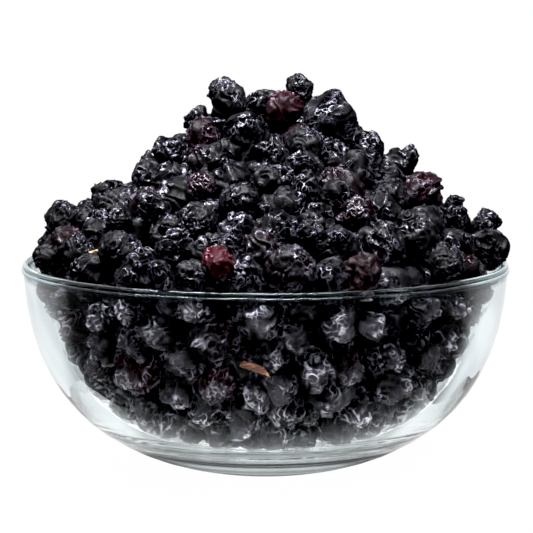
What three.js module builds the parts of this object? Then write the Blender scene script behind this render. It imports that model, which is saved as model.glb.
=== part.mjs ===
// A small clear glass bowl heaped with dried blueberries.
// Millimetres, +Z up. The origin is the centre of the foot's flat underside.
import * as THREE from "three";
import { ConvexGeometry } from "three/addons/geometries/ConvexGeometry.js";
import { ConvexHull } from "three/addons/math/ConvexHull.js";

// The bowl: a flat foot, a swept wall and a round bead of glass along the rim
const RIM_RADIUS = 60;
const BOWL_HEIGHT = 50.7;
const FOOT_RADIUS = 17.5;
const FLOOR_RADIUS = 17;
const FLOOR_HEIGHT = 5.6;
const LIP_RADIUS = 1.3;
const LIP_START_DEG = -30;
const NECK = [59.3, BOWL_HEIGHT - 2.7];
const OUTER_PULLS = [[34.7, 3.2], [57.7, 12.9]];
const INNER_PULLS = [[33.5, 6.8], [52.5, 15]];
const BOWL_SIDES = 64;
const WALL_STEPS = 12;
const LIP_STEPS = 7;

// The height near the rim that the eye looks at, from which the berries placed by eye are measured
const EYE_LEVEL = 49;

// The heap: a cone of berries with a blunt crown, above the rim
const HEAP_APEX = EYE_LEVEL + 49;
const HEAP_CROWN = EYE_LEVEL + 48.5;
const HEAP_SLOPE = 0.7;
const HEAP_HEART = 32;
const GLASS_GAP = 0.4;

// A berry on the bowl's axis is taken to lie this far from it, so that it can be moved outwards
const ON_AXIS = 1e-6;

// How far a loose berry sinks below the cone, give or take, and how far out it may lie
const LOOSE_SINK = 2;
const LOOSE_UNEVEN = 1.3;
const LOOSE_REACH = RIM_RADIUS - 3.4;

// How far a berry placed by eye may stand out of the cone and over the rim
const PLACED_PROUD = 6;
const PLACED_REACH = RIM_RADIUS - 0.5;

// The loose berries: radius range, how many fill the bowl, and how they settle
const BERRY_SMALL = 3;
const BERRY_LARGE = 6.5;
const LOOSE_BERRIES = 740;
const SEED = 4177;
const SETTLE_STEPS = 240;
const SETTLE_DROP = 0.03;
const NEIGHBOUR_STEPS = 10;
const NEIGHBOUR_REACH = 2.5;
const NESTLE = 0.94;

// How the heap is seen from the front, for the berries placed by eye
const EYE_DISTANCE = 540;
const EYE_RUN = 0.9919;
const EYE_RISE = 0.1271;
const SET_BACK_PASSES = 12;
const OUTLINE_STAGGER = 5;
const HOLD_ACROSS = 0.5;
const HOLD_DEPTH = 0.12;

// Berries placed by eye on the heap: across, up from the eye's level, radius
const HEAP_BERRIES = [
  // the crown
  [-9.3, 41.8, 4.9], [3.5, 39.5, 4.8], [-1.5, 41, 2.5], [8.5, 44, 3.2], [15.7, 36.5, 6.4],
  // the left slope, from the top down
  [-17, 36.3, 3], [-15, 32.5, 4.2], [-5, 32.5, 5.2], [-10.5, 26.5, 4.5], [-24, 28.5, 3.6],
  [-28.5, 22.4, 4], [-16, 19.5, 3.7], [-38.5, 16.5, 4.2], [-28, 14.5, 3.5], [-50, 11.5, 4.2],
  [-45, 12, 3], [-36, 11.5, 3.5], [-17, 10.5, 5.2], [-6.5, 16, 5],
  // the right slope, from the top down
  [10, 30, 4.7], [24, 29.4, 4.5], [33, 26, 4.2], [9, 23, 5.2], [22.5, 23, 5.2], [39, 18, 5],
  [31, 17, 4.2], [17, 17, 4], [4, 14, 5.4], [46.5, 15, 2.5], [47, 12, 3.5], [54.5, 10.2, 3.7],
  // along the rim, from left to right
  [-55, 2, 3.5], [-49, 5, 4.5], [-36, 3.5, 5.4], [-26.5, -1.5, 3], [-22, 4, 5],
  [-18.5, -4, 4.5], [-11, 1, 4], [-1, 4, 4.7], [6.5, -1, 6.2], [11, 8, 3.5], [22, 12, 5],
  [27.5, 4.5, 6.4], [24, -2.5, 4.7], [35.5, 6.5, 4.7], [35.5, 11, 3], [45, -0.5, 4.1],
  [54.5, 4, 5],
];

// Berries placed by eye against the glass: across, up from the eye's level, radius
const GLASS_BERRIES = [
  // the upper row
  [-45.5, -14.5, 4.7], [-39, -11.5, 4.2], [-25, -16, 4.7], [-17.5, -10, 4], [-12, -18, 6.2],
  [-1.5, -11.5, 6.2], [7, -17.5, 3.5], [17, -12.5, 5], [25.5, -14, 4.5], [37.5, -11, 4.5],
  [45, -10, 3.5], [43.5, -17, 3.7], [49.5, -13, 3.7],
  // the middle row
  [-46.5, -22.5, 4.2], [-40, -24, 3.7], [-31, -25, 5.4], [-21.5, -29.5, 4.2], [-12, -29, 4.2],
  [1.5, -22, 4.5], [11, -24.5, 5.7], [20, -25, 3.7], [28.5, -22, 4.5], [37, -21, 4.7],
  [36, -28.5, 4.7], [44, -25.5, 3.7],
  // the bottom row
  [-40.5, -32.5, 3.2], [-34.5, -34, 3.5], [-29, -33, 3], [-22, -37.5, 4], [-10.5, -37.5, 4.7],
  [-2, -31.5, 4.5], [2, -39, 4.5], [9, -33.5, 5.2], [21.5, -33.5, 4.7], [40, -31.5, 3],
];

// Berries behind the crown, which those in front hide: across, back, up, radius
const HIDDEN_BERRIES = [
  [-5, 8.5, 37, 4.8], [4, 9, 36.5, 4.8], [12, 8, 37, 4.6], [-13, 8, 32, 4.4], [20, 8, 31, 4.8],
];

// The sliver of bark behind the front glass, and the bit of stalk on the left slope
const SLIVER_ACROSS = [-5.6, -3.3, -0.8, 1];
const SLIVER_HEIGHT = [34.1, 33.6, 32.6, 30.9];
const SLIVER_WIDTH = 1.7;
const SLIVER_THICKNESS = 0.8;
const SLIVER_TAPER = 0.8;
const SLIVER_STEPS = 8;
const STALK_ROUTE = [[-40.3, -37.8, 57], [-39.5, -38, 57.3], [-38.6, -38.2, 57.6]];
const STALK_RADIUS = 0.35;
const STALK_SIDES = 8;
const STALK_STEPS = 5;
const SLIVER_ROOM = 0.45;
const STALK_ROOM = 0.15;
const BEADS_BETWEEN = 3;

// The core that the berries stand out of, and how finely the heap's surface is cut
const CORE_UNDER_GLASS = 4.4;
const CORE_UNDER_CONE = 6;
const CORE_UNDER_CROWN = 10;
const SKIRT_WIDTH = 1.15;
const SKIRT_DROP = 0.9;
const WRINKLE_DEPTH = 0.6;
const WRINKLE_TURN = 3;
const LIP_ROOM = 1.1;
const RING_POINTS = 7;
const RING_REACH = 0.66;
const EDGE_POINTS = 9;
const EDGE_REACH = 0.97;
const VALLEY_PASSES = 20;
const CLOSEST_POINTS = 1.05;
const MOST_POINTS = 5950;

// A repeatable draw between 0 and 1
function makeDraw(seed) {
  let state = seed;
  return () => {
    state = (state * 16807) % 2147483647;
    return state / 2147483647;
  };
}

const draw = makeDraw(SEED);

// Half of the bowl's section, as (radius, height) pairs
const lipCentre = new THREE.Vector2(RIM_RADIUS - LIP_RADIUS, BOWL_HEIGHT - LIP_RADIUS);

function wall(start, pulls, end) {
  const corners = [start, ...pulls, end].map((corner) => new THREE.Vector2(...corner));
  return new THREE.CubicBezierCurve(...corners).getPoints(WALL_STEPS);
}

function lip() {
  const points = [];
  for (let step = 0; step < LIP_STEPS; step += 1) {
    const turn = THREE.MathUtils.degToRad(LIP_START_DEG + (step * (180 - LIP_START_DEG)) / LIP_STEPS);
    const across = Math.cos(turn) * LIP_RADIUS;
    const up = Math.sin(turn) * LIP_RADIUS;
    points.push(new THREE.Vector2(lipCentre.x + across, lipCentre.y + up));
  }
  return points;
}

const outside = [new THREE.Vector2(0, 0), ...wall([FOOT_RADIUS, 0], OUTER_PULLS, NECK)];
const inside = [
  new THREE.Vector2(0, FLOOR_HEIGHT),
  ...wall([FLOOR_RADIUS, FLOOR_HEIGHT], INNER_PULLS, [lipCentre.x - LIP_RADIUS, lipCentre.y]),
];

function glassBowl() {
  const section = [...outside, ...lip(), ...inside.slice().reverse()];
  const geometry = new THREE.LatheGeometry(section, BOWL_SIDES);
  geometry.rotateX(Math.PI / 2);
  return geometry;
}

// The facets of the bowl's inside, each with its inward normal in the (radius, height) plane
function insideFacets() {
  const facets = [];
  for (let i = 1; i < inside.length; i += 1) {
    const run = inside[i].x - inside[i - 1].x;
    const rise = inside[i].y - inside[i - 1].y;
    const length = Math.sqrt(run * run + rise * rise);
    facets.push({
      radius: inside[i - 1].x,
      height: inside[i - 1].y,
      inward: -rise / length,
      upward: run / length,
      floor: i === 1,
    });
  }
  return facets;
}

const facets = insideFacets();
const slopeLength = Math.sqrt(HEAP_SLOPE * HEAP_SLOPE + 1);

// Moves a berry by a step along a direction given in the (radius, height) plane
function slide(berry, inward, upward, step) {
  const radius = Math.max(distanceFromAxis(berry), ON_AXIS);
  const scale = (radius + inward * step) / radius;
  berry.x *= scale;
  berry.y *= scale;
  berry.z += upward * step;
}

function distanceFromAxis(berry) {
  return Math.sqrt(berry.x * berry.x + berry.y * berry.y);
}

function keepOffGlass(berry) {
  for (const facet of facets) {
    if (!facet.floor && berry.z > lipCentre.y) continue;
    const radius = distanceFromAxis(berry);
    const depth = facet.inward * (radius - facet.radius) + facet.upward * (berry.z - facet.height);
    const lack = berry.r + GLASS_GAP - depth;
    if (lack > 0) slide(berry, facet.inward, facet.upward, lack);
  }
}

function keepOffLip(berry) {
  const across = distanceFromAxis(berry) - lipCentre.x;
  const up = berry.z - lipCentre.y;
  const apart = Math.sqrt(across * across + up * up);
  const lack = berry.r + LIP_RADIUS + GLASS_GAP - apart;
  if (lack > 0) slide(berry, across / apart, up / apart, lack);
}

function keepInHeap(berry) {
  const over = (HEAP_SLOPE * distanceFromAxis(berry) + berry.z - HEAP_APEX) / slopeLength;
  const proud = over + berry.r - berry.proud;
  if (proud > 0) slide(berry, -HEAP_SLOPE / slopeLength, -1 / slopeLength, proud);
  const crown = berry.z + berry.r - HEAP_CROWN;
  if (crown > 0) berry.z -= crown;
  const wide = distanceFromAxis(berry) + berry.r - berry.reach;
  if (wide > 0) slide(berry, -1, 0, wide);
}

function heldAt(x, y, z, r) {
  return { x, y, z, r, proud: PLACED_PROUD, reach: PLACED_REACH, home: { x, y, z } };
}

// A berry seen from the front at (across, up) is set back to where it touches the heap's face
function onTheHeap([across, up, r]) {
  return setBack(across, up, r, (z) => (HEAP_APEX - z) / HEAP_SLOPE - (r * slopeLength) / HEAP_SLOPE);
}

function onTheGlass([across, up, r]) {
  return setBack(across, up, r, (z) => insideRadius(z) - r - GLASS_GAP);
}

function insideRadius(z) {
  for (let i = 2; i < inside.length; i += 1) {
    if (z < inside[i].y) {
      const share = (z - inside[i - 1].y) / (inside[i].y - inside[i - 1].y);
      return inside[i - 1].x + share * (inside[i].x - inside[i - 1].x);
    }
  }
  return inside[inside.length - 1].x;
}

function behindCrown([across, back, up, r]) {
  return heldAt(across, back, EYE_LEVEL + up, r);
}

// A berry on the heap's outline lies a little before or behind the widest place
function setBack(across, up, r, reachAt) {
  const stagger = (2 * draw() - 1) * OUTLINE_STAGGER;
  let y = 0;
  let z = EYE_LEVEL + up;
  let near = 1;
  for (let pass = 0; pass < SET_BACK_PASSES; pass += 1) {
    z = EYE_LEVEL + (up * near - y * EYE_RISE) / EYE_RUN;
    const reach = Math.max(reachAt(z), 0);
    const x = across * near;
    y = Math.abs(x) < reach ? -Math.sqrt(reach * reach - x * x) : stagger;
    near = (EYE_DISTANCE + y * EYE_RUN - (z - EYE_LEVEL) * EYE_RISE) / EYE_DISTANCE;
  }
  return heldAt(across * near, y, z, r * near);
}

function looseBerry() {
  const spread = (draw() + draw() + draw()) / 3;
  const r = BERRY_SMALL + (BERRY_LARGE - BERRY_SMALL) * spread;
  const proud = (2 * draw() - 1) * LOOSE_UNEVEN - LOOSE_SINK;
  const reach = LOOSE_REACH;
  for (;;) {
    const x = (2 * draw() - 1) * reach;
    const y = (2 * draw() - 1) * reach;
    const z = FLOOR_HEIGHT + draw() * (HEAP_CROWN - FLOOR_HEIGHT);
    const radius = Math.sqrt(x * x + y * y);
    const underHeap = HEAP_SLOPE * radius + z < HEAP_APEX - r;
    if (underHeap && radius + r < insideRadius(z)) return { x, y, z, r, proud, reach, home: null };
  }
}

// Small fixed beads along the bark or the stalk, which keep the berries off it
function beadsAlong(route, r) {
  const beads = [];
  for (let i = 1; i < route.length; i += 1) {
    for (let step = 0; step <= BEADS_BETWEEN; step += 1) {
      const share = step / BEADS_BETWEEN;
      const at = [0, 1, 2].map((k) => route[i - 1][k] + (route[i][k] - route[i - 1][k]) * share);
      beads.push({ x: at[0], y: at[1], z: at[2], r });
    }
  }
  return beads;
}

// The bark lies against the glass, so its depth follows from its height
function sliverRoute() {
  const setIn = GLASS_GAP + SLIVER_THICKNESS / 2;
  return SLIVER_ACROSS.map((x, i) => {
    const reach = insideRadius(SLIVER_HEIGHT[i]) - setIn;
    return [x, -Math.sqrt(reach * reach - x * x), SLIVER_HEIGHT[i]];
  });
}

function curveThrough(route) {
  return new THREE.CatmullRomCurve3(route.map((point) => new THREE.Vector3(...point)));
}

function closeBerries(berry, berries) {
  return berries.filter((other) => {
    if (other === berry) return false;
    const reach = berry.r + other.r + NEIGHBOUR_REACH;
    const dx = berry.x - other.x;
    const dy = berry.y - other.y;
    const dz = berry.z - other.z;
    return dx * dx + dy * dy + dz * dz < reach * reach;
  });
}

// How far the berry's neighbours push it, all measured before any of them moves
function pushFrom(berry, others) {
  const push = { x: 0, y: 0, z: 0 };
  for (const other of others) {
    const dx = berry.x - other.x;
    const dy = berry.y - other.y;
    const dz = berry.z - other.z;
    const apart = Math.sqrt(dx * dx + dy * dy + dz * dz);
    const lack = (berry.r + other.r) * NESTLE - apart;
    if (lack > 0) {
      const share = (0.5 * lack) / apart;
      push.x += dx * share;
      push.y += dy * share;
      push.z += dz * share;
    }
  }
  return push;
}

function pushOffBead(berry, bead) {
  const dx = berry.x - bead.x;
  const dy = berry.y - bead.y;
  const dz = berry.z - bead.z;
  const apart = Math.sqrt(dx * dx + dy * dy + dz * dz);
  const lack = berry.r + bead.r - apart;
  if (lack > 0) {
    berry.x += (dx * lack) / apart;
    berry.y += (dy * lack) / apart;
    berry.z += (dz * lack) / apart;
  }
}

function settle(berries, beads) {
  let close = [];
  for (let step = 0; step < SETTLE_STEPS; step += 1) {
    if (step % NEIGHBOUR_STEPS === 0) close = berries.map((berry) => closeBerries(berry, berries));
    const pushes = berries.map((berry, i) => pushFrom(berry, close[i]));
    const drop = SETTLE_DROP * (1 - step / SETTLE_STEPS);
    berries.forEach((berry, i) => {
      berry.x += pushes[i].x;
      berry.y += pushes[i].y;
      berry.z += pushes[i].z - drop;
      if (berry.home) {
        berry.x += (berry.home.x - berry.x) * HOLD_ACROSS;
        berry.y += (berry.home.y - berry.y) * HOLD_DEPTH;
        berry.z += (berry.home.z - berry.z) * HOLD_ACROSS;
      }
      for (const bead of beads) pushOffBead(berry, bead);
      keepInHeap(berry);
      keepOffLip(berry);
      keepOffGlass(berry);
    });
  }
}

function placeBerries(beads) {
  const seen = [...HEAP_BERRIES.map(onTheHeap), ...GLASS_BERRIES.map(onTheGlass)];
  const berries = [...seen, ...HIDDEN_BERRIES.map(behindCrown)];
  for (let i = 0; i < LOOSE_BERRIES; i += 1) berries.push(looseBerry());
  settle(berries, beads);
  return berries;
}

// Along a ray from the heap's heart: where it leaves a ball, or where it meets a bead
const heart = new THREE.Vector3(0, 0, HEAP_HEART);

function leavesBall(direction, ball) {
  const along = direction.dot(ball.offset);
  const reach = along * along - ball.offset.lengthSq() + ball.r * ball.r;
  return reach < 0 || along < 0 ? 0 : along + Math.sqrt(reach);
}

function meetsBall(direction, ball) {
  const along = direction.dot(ball.offset);
  const reach = along * along - ball.offset.lengthSq() + ball.r * ball.r;
  return reach < 0 || along < 0 ? Infinity : along - Math.sqrt(reach);
}

function meetsLip(direction) {
  const across = Math.hypot(direction.x, direction.y);
  const lipAcross = lipCentre.x;
  const lipUp = lipCentre.y - HEAP_HEART;
  const along = across * lipAcross + direction.z * lipUp;
  const room = LIP_RADIUS + LIP_ROOM;
  const reach = along * along - lipAcross * lipAcross - lipUp * lipUp + room * room;
  return reach < 0 ? Infinity : along - Math.sqrt(reach);
}

// The smooth core: the bowl's inside and the cone, both drawn in by the berries' depth
function meetsCore(direction) {
  const across = Math.hypot(direction.x, direction.y);
  const up = direction.z;
  let reach = Infinity;
  for (const facet of facets) {
    const closing = -(facet.inward * across + facet.upward * up);
    const depth = facet.upward * (HEAP_HEART - facet.height) - facet.inward * facet.radius;
    if (closing > 0) reach = Math.min(reach, (depth - CORE_UNDER_GLASS) / closing);
  }
  const rising = HEAP_SLOPE * across + up;
  const underCone = HEAP_APEX - HEAP_HEART - CORE_UNDER_CONE * slopeLength;
  if (rising > 0) reach = Math.min(reach, underCone / rising);
  if (up > 0) reach = Math.min(reach, (HEAP_CROWN - CORE_UNDER_CROWN - HEAP_HEART) / up);
  return reach;
}

function withOffset(ball) {
  return { ...ball, offset: new THREE.Vector3(ball.x, ball.y, ball.z).sub(heart) };
}

// A wider ball further in, so that a berry that stands free rises from a rounded foot
function skirtOf(ball) {
  const length = ball.offset.length();
  const offset = ball.offset.clone().multiplyScalar((length - ball.r * SKIRT_DROP) / length);
  return { offset, r: ball.r * SKIRT_WIDTH };
}

// How far the dried skin falls in at a point of the surface
function wrinkle(direction, reach) {
  const waves = direction.toArray().map((part) => Math.sin(part * reach * WRINKLE_TURN));
  const mean = (waves[0] + waves[1] + waves[2]) / waves.length;
  return (WRINKLE_DEPTH * (1 + mean)) / 2;
}

// The heap's surface along a direction: the furthest berry, held back by the lip and the strays
function makeSurface(balls, beads) {
  return (direction) => {
    let reach = meetsCore(direction);
    for (const ball of balls) reach = Math.max(reach, leavesBall(direction, ball));
    reach -= wrinkle(direction, reach);
    for (const bead of beads) reach = Math.min(reach, meetsBall(direction, bead));
    return Math.min(reach, meetsLip(direction));
  };
}

// The berries whose outermost point no other berry covers
function outerBalls(balls) {
  return balls.filter((ball) => {
    const direction = ball.offset.clone().normalize();
    const own = ball.offset.length() + ball.r;
    return balls.every((other) => other === ball || leavesBall(direction, other) < own);
  });
}

function ringAround(ball, count, share) {
  const turnBy = draw() * Math.PI;
  const apex = ball.offset.clone().normalize();
  const side = new THREE.Vector3(apex.z, apex.x, apex.y).cross(apex).normalize();
  const reach = (ball.r * share) / ball.offset.length();
  const ring = [];
  for (let i = 0; i < count; i += 1) {
    const turned = side.clone().applyAxisAngle(apex, turnBy + (i * 2 * Math.PI) / count);
    ring.push(apex.clone().addScaledVector(turned, reach).normalize());
  }
  return ring;
}

// The direction between two neighbouring berries where their surfaces cross
function valleyBetween(a, b) {
  const from = a.offset.clone().normalize();
  const to = b.offset.clone().normalize();
  let low = 0;
  let high = 1;
  const middle = new THREE.Vector3();
  for (let pass = 0; pass < VALLEY_PASSES; pass += 1) {
    const share = (low + high) / 2;
    middle.copy(from).lerp(to, share).normalize();
    if (leavesBall(middle, a) > leavesBall(middle, b)) low = share;
    else high = share;
  }
  return middle;
}

function neighbourFaces(balls) {
  const points = balls.map((ball) => {
    const point = ball.offset.clone().normalize();
    point.ball = ball;
    return point;
  });
  return new ConvexHull().setFromPoints(points).faces.map((face) => {
    const corners = [face.edge, face.edge.next, face.edge.next.next];
    return corners.map((edge) => edge.head().point.ball);
  });
}

// Keeps the candidates that lie far enough from those already kept
function thin(candidates, distanceOf) {
  const kept = [];
  for (const direction of candidates) {
    if (kept.length >= MOST_POINTS) break;
    const apart = CLOSEST_POINTS / distanceOf(direction);
    const limit = 1 - (apart * apart) / 2;
    if (kept.every((other) => other.dot(direction) < limit)) kept.push(direction);
  }
  return kept;
}

function directionOf(ball) {
  return ball.offset.clone().normalize();
}

// Where the surface needs a point: on the strays, on each outer berry, and between berries
function surfaceDirections(outer, strays) {
  const rings = outer.flatMap((ball) => ringAround(ball, RING_POINTS, RING_REACH));
  const placed = outer.filter((ball) => ball.home);
  const edges = placed.flatMap((ball) => ringAround(ball, EDGE_POINTS, EDGE_REACH));
  const faces = neighbourFaces(outer);
  const valleys = faces.map(([a, b, c]) => {
    return [valleyBetween(a, b), valleyBetween(b, c), valleyBetween(c, a)];
  });
  const pits = valleys.map(([a, b, c]) => a.clone().add(b).add(c).normalize());
  const middles = [...strays, ...outer].map(directionOf);
  return [...middles, ...rings, ...edges, ...pits, ...valleys.flat()];
}

function blueberryHeap(berries, beads) {
  const balls = berries.map(withOffset);
  const outer = outerBalls(balls);
  const strays = beads.map(withOffset);
  const surfaceAt = makeSurface([...balls, ...outer.map(skirtOf)], strays);
  const directions = thin(surfaceDirections(outer, strays), surfaceAt);
  const geometry = new ConvexGeometry(directions);
  const position = geometry.getAttribute("position");
  const direction = new THREE.Vector3();
  for (let i = 0; i < position.count; i += 1) {
    direction.fromBufferAttribute(position, i);
    const reach = surfaceAt(direction.normalize());
    position.setXYZ(i, direction.x * reach, direction.y * reach, HEAP_HEART + direction.z * reach);
  }
  return geometry;
}

// The bark's section: a thin strip that narrows to both edges
function sliverSection() {
  const edge = SLIVER_WIDTH / 2;
  const flank = edge * SLIVER_TAPER;
  const face = SLIVER_THICKNESS / 2;
  const lower = [[-face, -flank], [0, -edge], [face, -flank]];
  const upper = [[face, flank], [0, edge], [-face, flank]];
  return new THREE.Shape([...lower, ...upper].map((corner) => new THREE.Vector2(...corner)));
}

function barkSliver() {
  const extrudePath = curveThrough(sliverRoute());
  return new THREE.ExtrudeGeometry(sliverSection(), { steps: SLIVER_STEPS, extrudePath });
}

function stalkBit() {
  const section = new THREE.Shape().absarc(0, 0, STALK_RADIUS, 0, 2 * Math.PI);
  const extrudePath = curveThrough(STALK_ROUTE);
  const steps = STALK_STEPS;
  return new THREE.ExtrudeGeometry(section, { steps, curveSegments: STALK_SIDES, extrudePath });
}

const glass = new THREE.MeshStandardMaterial({ color: 0xe6f0ef, roughness: 0.03, metalness: 0 });
const berrySkin = new THREE.MeshStandardMaterial({ color: 0x1b1a20, roughness: 0.35, metalness: 0 });
const bark = new THREE.MeshStandardMaterial({ color: 0x9a5a34, roughness: 0.8, metalness: 0 });
const stalk = new THREE.MeshStandardMaterial({ color: 0xb98550, roughness: 0.8, metalness: 0 });

function named(name, geometry, material) {
  const mesh = new THREE.Mesh(geometry, material);
  mesh.name = name;
  return mesh;
}

const beads = [
  ...beadsAlong(sliverRoute(), SLIVER_WIDTH / 2 + SLIVER_ROOM),
  ...beadsAlong(STALK_ROUTE, STALK_RADIUS + STALK_ROOM),
];
const filledBowl = new THREE.Group();
filledBowl.add(named("glass_bowl", glassBowl(), glass));
filledBowl.add(named("dried_blueberries", blueberryHeap(placeBerries(beads), beads), berrySkin));
filledBowl.add(named("bark_sliver", barkSliver(), bark));
filledBowl.add(named("stalk_bit", stalkBit(), stalk));

export default filledBowl;
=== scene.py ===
# %% [markdown]
# # A glass bowl of dried blueberries
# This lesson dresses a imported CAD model: a round glass bowl, 120 mm across, heaped with dried
# blueberries, a sliver of bark among them and a bit of stalk lying on top. The CAD solids hold
# the sizes. Here every piece gets its finer form and its finish, in metres, in the same frame.

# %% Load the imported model
from math import atan2, cos, pi, radians, sin, sqrt, tan

import bpy
import numpy as np
from mathutils import Matrix, Quaternion, Vector


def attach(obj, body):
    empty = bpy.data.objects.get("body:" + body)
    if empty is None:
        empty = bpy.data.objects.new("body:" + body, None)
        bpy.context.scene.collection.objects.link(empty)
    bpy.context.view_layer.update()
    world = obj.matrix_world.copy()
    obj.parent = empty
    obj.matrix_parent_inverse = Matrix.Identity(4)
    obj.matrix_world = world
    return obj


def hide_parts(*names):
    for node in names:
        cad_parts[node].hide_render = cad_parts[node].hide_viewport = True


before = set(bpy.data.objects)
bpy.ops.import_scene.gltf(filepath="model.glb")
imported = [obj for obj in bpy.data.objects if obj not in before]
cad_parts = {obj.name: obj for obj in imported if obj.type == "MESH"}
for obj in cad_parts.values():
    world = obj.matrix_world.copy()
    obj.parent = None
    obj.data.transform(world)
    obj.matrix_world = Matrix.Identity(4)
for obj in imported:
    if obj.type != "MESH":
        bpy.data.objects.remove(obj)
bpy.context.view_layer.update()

print("CAD nodes:", sorted(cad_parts))

# %% [markdown]
# ## Small tools
# Every piece starts from a primitive or a curve, is changed by modifiers and operators, and is
# read back as an array of points where a formula does it better. These few functions keep the
# selection clean, because an operator works on whatever happens to be selected.

# %% Select, modify, read and write points
MM = 0.001


def choose(*objects):
    """Selects these objects alone, and makes the last one active."""
    bpy.ops.object.select_all(action="DESELECT")
    for obj in objects:
        obj.select_set(True)
    bpy.context.view_layer.objects.active = objects[-1]


def modify(obj, kind, **settings):
    """Adds a modifier with these settings and applies it."""
    choose(obj)
    step = obj.modifiers.new(kind.lower(), kind)
    for name, value in settings.items():
        setattr(step, name, value)
    bpy.ops.object.modifier_apply(modifier=step.name)


def edit(obj, *calls):
    """Runs edit-mode operators on the whole mesh."""
    choose(obj)
    bpy.ops.object.mode_set(mode="EDIT")
    bpy.ops.mesh.select_all(action="SELECT")
    for call, settings in calls:
        call(**settings)
    bpy.ops.object.mode_set(mode="OBJECT")


def points_of(obj, what="co"):
    found = np.empty(len(obj.data.vertices) * 3)
    obj.data.vertices.foreach_get(what, found)
    return found.reshape(-1, 3)


def set_points(obj, points):
    obj.data.vertices.foreach_set("co", np.asarray(points, dtype=float).ravel())
    obj.data.update()


def store(obj, name, values):
    """Keeps one number per point on the mesh, for the materials to read."""
    mesh = obj.data
    layer = mesh.attributes.get(name) or mesh.attributes.new(name, "FLOAT", "POINT")
    layer.data.foreach_set("value", np.broadcast_to(np.float32(values), len(mesh.vertices)).copy())


def smooth(obj):
    edit(obj, (bpy.ops.mesh.normals_make_consistent, dict(inside=False)))
    bpy.ops.object.shade_smooth()


def triangles(obj):
    return sum(len(face.vertices) - 2 for face in obj.data.polygons)


# %% [markdown]
# ## Camera
# The photograph is taken from a little above the rim with a long lens. The rim's ellipse gives
# the height of the eye, 7.3 degrees, and its width gives the distance for the chosen lens. The
# bowl stands one pixel left of the picture's middle, which a small shift of the lens takes up.

# %% Camera
EYE_LEVEL = 49.0
AIM = Vector((0, 0, EYE_LEVEL * MM))
EYE_RISE_DEG = 7.3
EYE_AWAY = 0.54
LENS, SENSOR_WIDTH = 147.4, 36
PHOTO_WIDTH = 533
CLIP_START = 0.01

bpy.ops.object.camera_add()
camera = bpy.context.object
camera.name = "camera"
rise = radians(EYE_RISE_DEG)
to_eye = Vector((0, -cos(rise), sin(rise)))
camera.location = AIM + to_eye * EYE_AWAY
camera.rotation_mode = "QUATERNION"
camera.rotation_quaternion = (-to_eye).to_track_quat("-Z", "Y")
camera.data.lens = LENS
camera.data.sensor_width = SENSOR_WIDTH
camera.data.shift_x = 1 / PHOTO_WIDTH
camera.data.clip_start = CLIP_START
bpy.context.scene.camera = camera
print("camera at", [round(k, 3) for k in camera.location])

# %% [markdown]
# ## Node helper
# A material is a small program made of nodes. One function makes a node, sets its plain
# numbers and wires its inputs, so that a material below reads from top to bottom.

# %% Node helper
def node(tree, kind, inputs=None, **settings):
    """Makes a node. An input's value is a number, a colour, or another node's output socket."""
    made = tree.nodes.new("ShaderNode" + kind)
    for name, value in settings.items():
        setattr(made, name, value)
    for name, value in (inputs or {}).items():
        socket = made.inputs[name]
        if isinstance(value, bpy.types.NodeSocket):
            tree.links.new(value, socket)
        else:
            socket.default_value = value
    return made


def maths(tree, operation, a, b=0.0, c=0.0):
    return node(tree, "Math", {0: a, 1: b, 2: c}, operation=operation).outputs[0]


def times(tree, a, b):
    return maths(tree, "MULTIPLY", a, b)


def ramp(tree, value, stops):
    """A colour ramp through (place, colour) stops."""
    made = node(tree, "ValToRGB", {"Fac": value})
    marks = made.color_ramp.elements
    marks.remove(marks[1])
    marks[0].position = stops[0][0]
    for place, _ in stops[1:]:
        marks.new(place)
    for mark, (_, colour) in zip(marks, stops):
        mark.color = (*colour, 1)
    return made.outputs["Color"]


def noise(tree, place, scale, detail):
    return node(tree, "TexNoise", {"Vector": place, "Scale": scale, "Detail": detail}).outputs["Fac"]


def remap(tree, value, low, high, to_low=0.0, to_high=1.0, ease="SMOOTHSTEP"):
    """Turns low..high into to_low..to_high."""
    inputs = {"Value": value, "From Min": low, "From Max": high, "To Min": to_low, "To Max": to_high}
    return node(tree, "MapRange", inputs, interpolation_type=ease).outputs["Result"]


def blend(tree, share, a, b):
    """Colour a, turning into colour b as share goes from 0 to 1."""
    return node(tree, "Mix", {0: share, 6: a, 7: b}, data_type="RGBA").outputs[2]


def mix_number(tree, share, a, b):
    """Number a, turning into number b as share goes from 0 to 1."""
    return node(tree, "Mix", {0: share, 2: a, 3: b}, data_type="FLOAT").outputs[0]


def new_material(name):
    """An empty material, its tree of nodes, and the place on the object, in metres."""
    made = bpy.data.materials.new(name)
    made.use_nodes = True
    made.node_tree.nodes.clear()
    return made, made.node_tree, node(made.node_tree, "TexCoord").outputs["Object"]


def dress(obj, material):
    obj.data.materials.clear()
    obj.data.materials.append(material)


# %% [markdown]
# ## Studio
# The photograph has a white background, soft light from a large source overhead, and black
# fruit that keeps its contrast. A plain white room would fog the glass and grey the fruit, so
# the brightness depends on what a ray of light has been through: white for the eye, also
# straight through glass, dim for what the fruit mirrors, and dark in places for what the glass
# mirrors. The Light Path node tells these apart.

# %% How bright the studio is for each kind of ray
SEEN_BY_FRUIT, SEEN_BY_FRUIT_IN_GLASS = 0.012, 4.2
DARK = 0.01


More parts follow.
